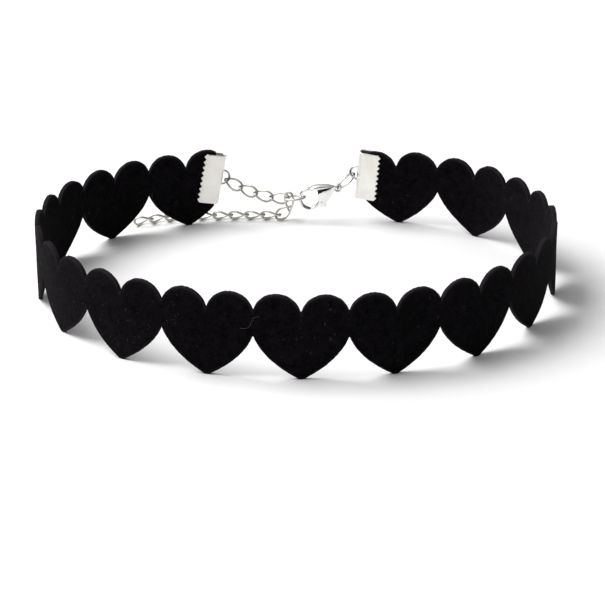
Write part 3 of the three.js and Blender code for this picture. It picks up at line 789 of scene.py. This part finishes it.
# Bar between two border lines A(s) and B(s): (A + B) / 2 + (B - A) / 2 u(a), y = y0 + h(s) w(a),
# with |u|^p + |w|^p = 1 round the section and both ends closed by a quarter round.
def slab(first, second, middle, half, ends=(0.5, 0.5), power=2.7, stations=44, sides=28):
    first, second = drawn(first, stations), drawn(second, stations)
    spine = (first + second) / 2
    along = np.concatenate([[0], np.cumsum(np.linalg.norm(np.diff(spine, axis=0), axis=1))])
    fromEnd = np.minimum(along / ends[0], (along[-1] - along) / ends[1])
    closing = np.sqrt(1 - (1 - np.clip(fromEnd, 0, 1)) ** 2)[:, None]
    a = np.linspace(0, 2 * np.pi, sides, endpoint=False)[None]
    u, w = [np.sign(v) * np.abs(v) ** (2 / power) for v in (np.cos(a), np.sin(a))]
    flat = spine[:, None] + ((second - first) / 2)[:, None] * (u * closing ** 0.5)[..., None]
    h = np.interp(np.linspace(0, 1, stations), np.linspace(0, 1, len(half)), half)[:, None]
    grid = np.stack([flat[..., 0], middle + h * w * closing, flat[..., 1]], -1)
    return grid.reshape(-1, 3), gridFaces(stations, sides, closeColumns=True)


# Merges the doubled points of a pole or fold, and turns all faces outwards.
def closed(piece):
    made = bmesh.new()
    made.from_mesh(piece.data)
    bmesh.ops.remove_doubles(made, verts=made.verts, dist=2e-6)
    bmesh.ops.dissolve_degenerate(made, edges=made.edges, dist=1e-7)
    bmesh.ops.recalc_face_normals(made, faces=made.faces)
    made.to_mesh(piece.data)
    made.free()
    return piece


def claspPiece(name, points, faces, body="choker", finish="claspSilver", shadeAndDull=None):
    where = turned(claspRows, points, clasp["at"])
    piece = makePiece(name, where, faces, metal[finish], "clasp_metal", body)
    if shadeAndDull is not None:
        setShare(piece, "shadeAndDull", shadeAndDull)
    return closed(piece)


# Tube in the clasp's plane with a squarish section: |u|^3 + |v|^3 = 1.
def flatWire(path, across, thick, sides, isClosed):
    a = np.linspace(0, 2 * np.pi, sides, endpoint=False)
    round3 = 1 / (np.abs(np.cos(a)) ** 3 + np.abs(np.sin(a)) ** 3) ** (1 / 3)
    u, v = np.cos(a) * round3, np.sin(a) * round3
    around = np.roll(path, -1, 0) - np.roll(path, 1, 0) if isClosed else np.gradient(path, axis=0)
    tangent = unit(around)
    n = np.stack([-tangent[:, 1], tangent[:, 0]], -1)
    across = np.broadcast_to(across, (len(path),))[:, None]
    thick = np.broadcast_to(thick, (len(path),))[:, None]
    flat = path[:, None] + n[:, None] * (across * u)[..., None]
    return np.stack([flat[..., 0], thick * v, flat[..., 1]], -1).reshape(-1, 3)


def claspBody():
    bar = slab(clasp["barLow"], clasp["barTop"], 0, clasp["barHalf"], power=2.15)
    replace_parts(claspPiece("claspBar", *bar), "clasp_body")
    cheek = clasp["cheek"]
    for side, name in ((-1, "cheekFront"), (1, "cheekBack")):
        plate = slab(clasp["cheekLeft"], clasp["cheekRight"], side * cheek["at"], cheek["half"], (0.25, 0.5))
        claspPiece(name, *plate)
    # painted shade: a near-black core fills the slot between bar and cheeks, standing in for the shade there
    core = slab(clasp["coreLeft"], clasp["coreRight"], 0, clasp["coreHalf"], (0.3, 0.3))
    claspPiece("claspShadeCore", *core, finish="claspSlotShade")


# Arc of the claw's oval, slimmer towards the tip and closed there by a quarter round.
def claspHook():
    stations, sides, tipSteps = 70, 18, 5
    across, thick = clasp["hookWire"]
    f = np.radians(np.linspace(*clasp["hook"], stations))
    path = np.stack([clasp["claw"][0] * np.cos(f), clasp["claw"][1] * np.sin(f)], -1)
    slim = 1 - 0.18 * np.linspace(0, 1, stations) ** 2
    fromTip = np.arange(stations - 1, -1, -1) / tipSteps
    slim = slim * np.sqrt(1 - (1 - np.clip(fromTip, 0, 1)) ** 2)
    hook = flatWire(path, across * slim, thick * slim, sides, False)
    # painted shade: darker and rougher on the inside of the hook's arc, where the chain hangs, and all round
    # the tip's underside
    inside = np.clip(np.cos(np.linspace(0, 2 * np.pi, sides, endpoint=False)) * 1.4, 0, 1)
    shadeAlong = np.sin(np.clip((np.degrees(f) - 130) / 124, 0, 1) * np.pi)
    low = np.clip((np.degrees(f) - 188) / 22, 0, 1)
    shadeAndDull = np.maximum(0.85 * shadeAlong[:, None] * inside[None, :], 0.85 * low[:, None])
    faces = gridFaces(stations, sides, closeColumns=True).tolist() + [list(range(sides))]
    claspPiece("claspHook", hook, faces, shadeAndDull=shadeAndDull)


def claspEye():
    stations, sides = 48, 14
    eye = clasp["eye"]
    f = np.radians(np.linspace(0, 360, stations, endpoint=False))
    path = np.stack([eye["at"] + eye["radius"] * np.cos(f), eye["radius"] * np.sin(f)], -1)
    claspPiece("claspEye", flatWire(path, *eye["wire"], sides, True), gridFaces(stations, sides, True, True))


def claspLever():
    lever = pillow(smoothLoop(clasp["lever"], 9), clasp["leverSpine"], clasp["leverHalf"], 0.3)
    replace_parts(claspPiece("claspLever", *lever, "lever"), "clasp_lever")


# Heads of the rivet that carries the lever: y = out + dome sqrt(1 - r^2), with a straight rim.
def claspRivets():
    rivet, sides = clasp["rivet"], 20
    rings = [0.0, 0.3, 0.6, 0.8, 0.95, 1.0, 1.0]
    r, a = np.meshgrid(rings, np.linspace(0, 2 * np.pi, sides, endpoint=False), indexing="ij")
    y = rivet["out"] + rivet["dome"] * np.sqrt(np.maximum(1 - r ** 2, 0))
    y[-1] = rivet["in"]
    x = clasp["pivot"][0] + rivet["radius"] * r * np.cos(a)
    z = clasp["pivot"][1] + rivet["radius"] * r * np.sin(a)
    back = list(range((len(rings) - 1) * sides, len(rings) * sides))
    faces = gridFaces(len(rings), sides, closeColumns=True).tolist() + [back]
    for side, name in ((-1, "rivetFront"), (1, "rivetBack")):
        claspPiece(name, np.stack([x, side * y, z], -1).reshape(-1, 3), faces)


claspBody()
claspHook()
claspEye()
claspLever()
claspRivets()
print("clasp made")

# floor, light, camera


# White table top, in metres.
def studioFloor():
    f = Finish("paleFloor")
    f.set({"Base Color": (0.93, 0.93, 0.935, 1), "Roughness": 0.6, "Specular IOR Level": 0.1})
    mesh = bpy.data.meshes.new("floor")
    side, back = 3.0, 4.0
    corners = [(-side, -side, 0), (side, -side, 0), (side, back, 0), (-side, back, 0)]
    mesh.from_pydata(corners, [], [(0, 1, 2, 3)])
    mesh.materials.append(f.material)
    floor = bpy.data.objects.new("floor", mesh)
    bpy.context.scene.collection.objects.link(floor)


# the window's place and size are metres, its power watts
window = {"at": (-0.64, 0.08, 0.92), "size": 0.75, "power": 13.6, "colour": (1.0, 0.995, 0.985)}
room = {"sky": 0.86, "front": 0.46, "right": 0.28, "low": 0.06, "seen": 0.93}


# One soft window on the left that looks at the middle of the ring.
def windowLight():
    light = bpy.data.lights.new("window", "AREA")
    light.shape = "RECTANGLE"
    light.size, light.size_y = window["size"], window["size"]
    light.energy = window["power"]
    light.color = window["colour"]
    lamp = bpy.data.objects.new("window", light)
    lamp.location = window["at"]
    lamp.rotation_euler = Vector(window["at"]).to_track_quat("Z", "Y").to_euler()
    bpy.context.scene.collection.objects.link(lamp)


# A white ceiling, darker towards the viewer and dark near the horizon, which draws dark edges on the metal.
def roomLight():
    world = bpy.data.worlds.new("room")
    bpy.context.scene.world = world
    world.use_nodes = True
    n = Nodes(world.node_tree)
    way = n.node("ShaderNodeTexCoord", {}, {}, "Generated")

    # from one strength to another along an axis of the direction
    def between(axis, start, end, first, last):
        along = n.node("ShaderNodeSeparateXYZ", {}, {"Vector": way}, axis)
        values = {"Value": along, "From Min": start, "From Max": end, "To Min": first, "To Max": last}
        return n.node("ShaderNodeMapRange", {"interpolation_type": "SMOOTHSTEP"}, values, "Result")

    back = between("Y", -0.75, 0.1, room["front"], room["sky"])
    high = between("Z", 0.12, 0.42, room["low"], 1.0)
    side = between("X", -0.4, 0.65, 1.0, room["right"])
    seen = n.node("ShaderNodeLightPath", {}, {}, "Is Camera Ray")
    strength = n.node("ShaderNodeMix", {}, {0: seen, 2: back * high * side, 3: room["seen"]})
    background = n.tree.nodes["Background"]
    n.put(background.inputs["Strength"], strength)
    n.put(background.inputs["Color"], (1, 1, 1, 1))


studioFloor()
roomLight()
windowLight()
bpy.context.scene.view_settings.view_transform = "Standard"

# The camera fitted to the photo; focal length and width are pixels of the photo.
view = {
    "at": (1.325, -473.33, 200.43),
    "down": 23.198,
    "roll": -0.1912,
    "focal": 2258.5,
    "wide": 605,
    "film": 36.0,
}


def addCamera():
    data = bpy.data.cameras.new("camera")
    data.sensor_width = view["film"]
    data.lens = view["focal"] * view["film"] / view["wide"]
    data.clip_start, data.clip_end = 0.02, 20.0
    camera = bpy.data.objects.new("camera", data)
    down, roll = np.radians(view["down"]), np.radians(view["roll"])
    forward = np.array([0, np.cos(down), -np.sin(down)])
    up0 = np.array([0, np.sin(down), np.cos(down)])
    right = np.array([np.cos(roll), 0, 0]) + np.sin(roll) * up0
    up = np.cos(roll) * up0 - np.array([np.sin(roll), 0, 0])
    matrix = np.eye(4)
    matrix[:3, 0], matrix[:3, 1], matrix[:3, 2] = right, up, -forward
    matrix[:3, 3] = np.array(view["at"]) * mm
    camera.matrix_world = Matrix(matrix.tolist())
    bpy.context.scene.collection.objects.link(camera)
    bpy.context.scene.camera = camera


addCamera()
print("stage made")
